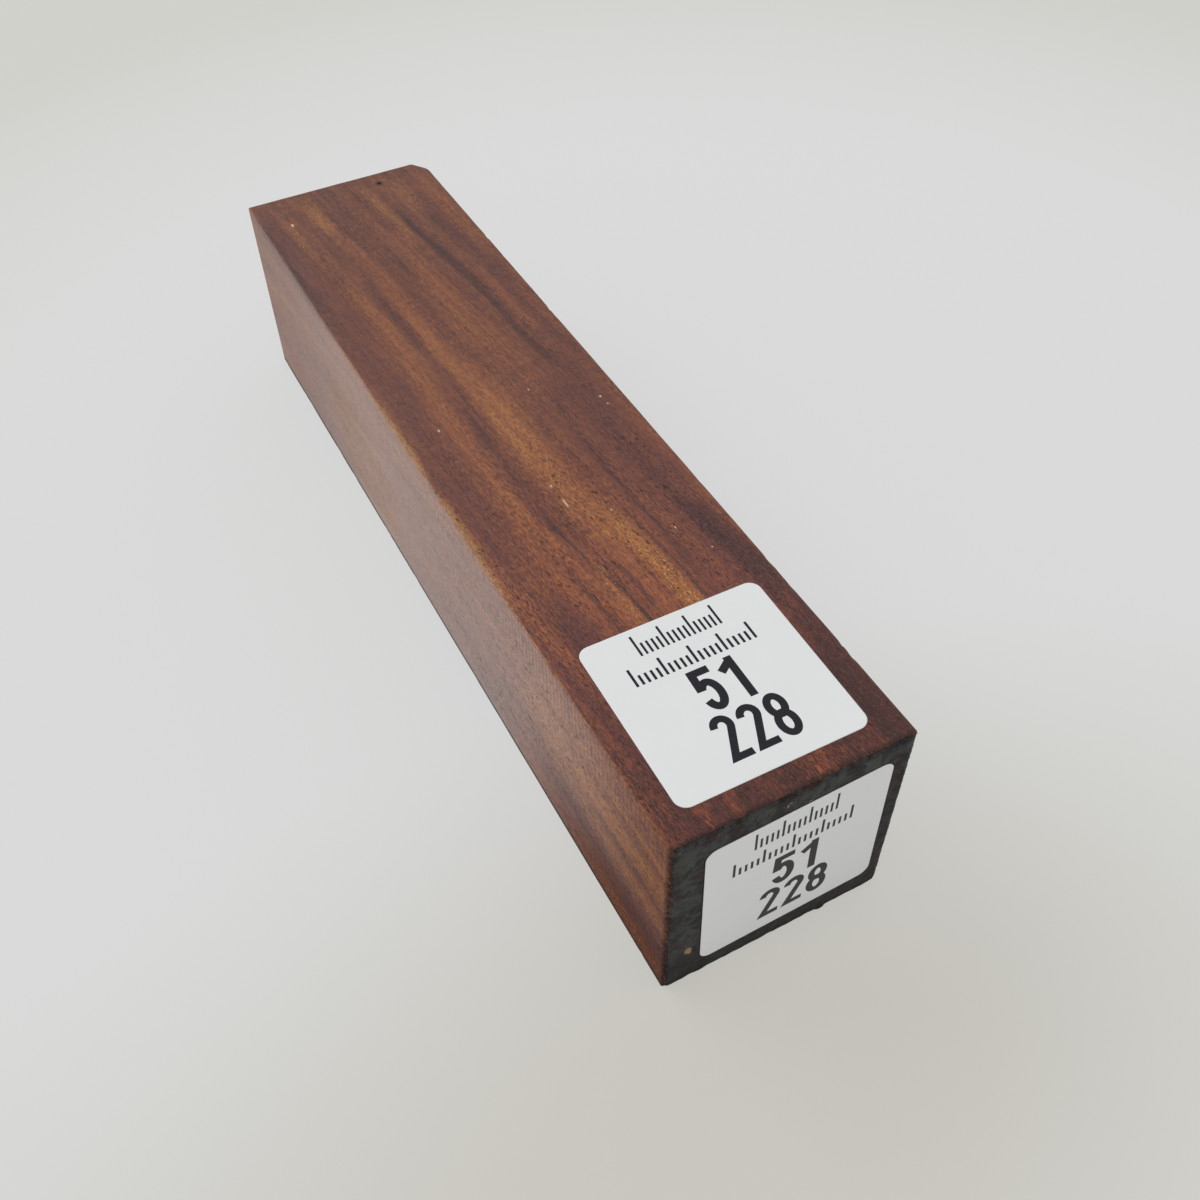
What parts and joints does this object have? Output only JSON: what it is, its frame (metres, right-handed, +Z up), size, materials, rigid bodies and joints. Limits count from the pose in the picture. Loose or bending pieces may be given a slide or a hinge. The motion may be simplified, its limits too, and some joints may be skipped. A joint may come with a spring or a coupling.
{
  "type": "wood turning blank",
  "caption": "Squared stick of dense dark hardwood for turning, with wax-sealed ends, a knocked corner and square paper labels on the top and on one end.",
  "frame": {"origin": "middle of the underside, on the floor it lies on", "axes": "+Y along the grain to the far end, away from the labelled end, +X to the right seen from the labelled end, +Z up"},
  "size_m": [0.051, 0.2284, 0.0511],
  "materials": {
    "hardwood": "satin",
    "sealer_wax": "satin",
    "label_paper": "matte"
  },
  "bodies": {
    "root": {"wood_blank": "hardwood", "end_wax_near": "sealer_wax", "end_wax_far": "sealer_wax", "label_top": "label_paper", "label_end": "label_paper"}
  },
  "joints": []
}
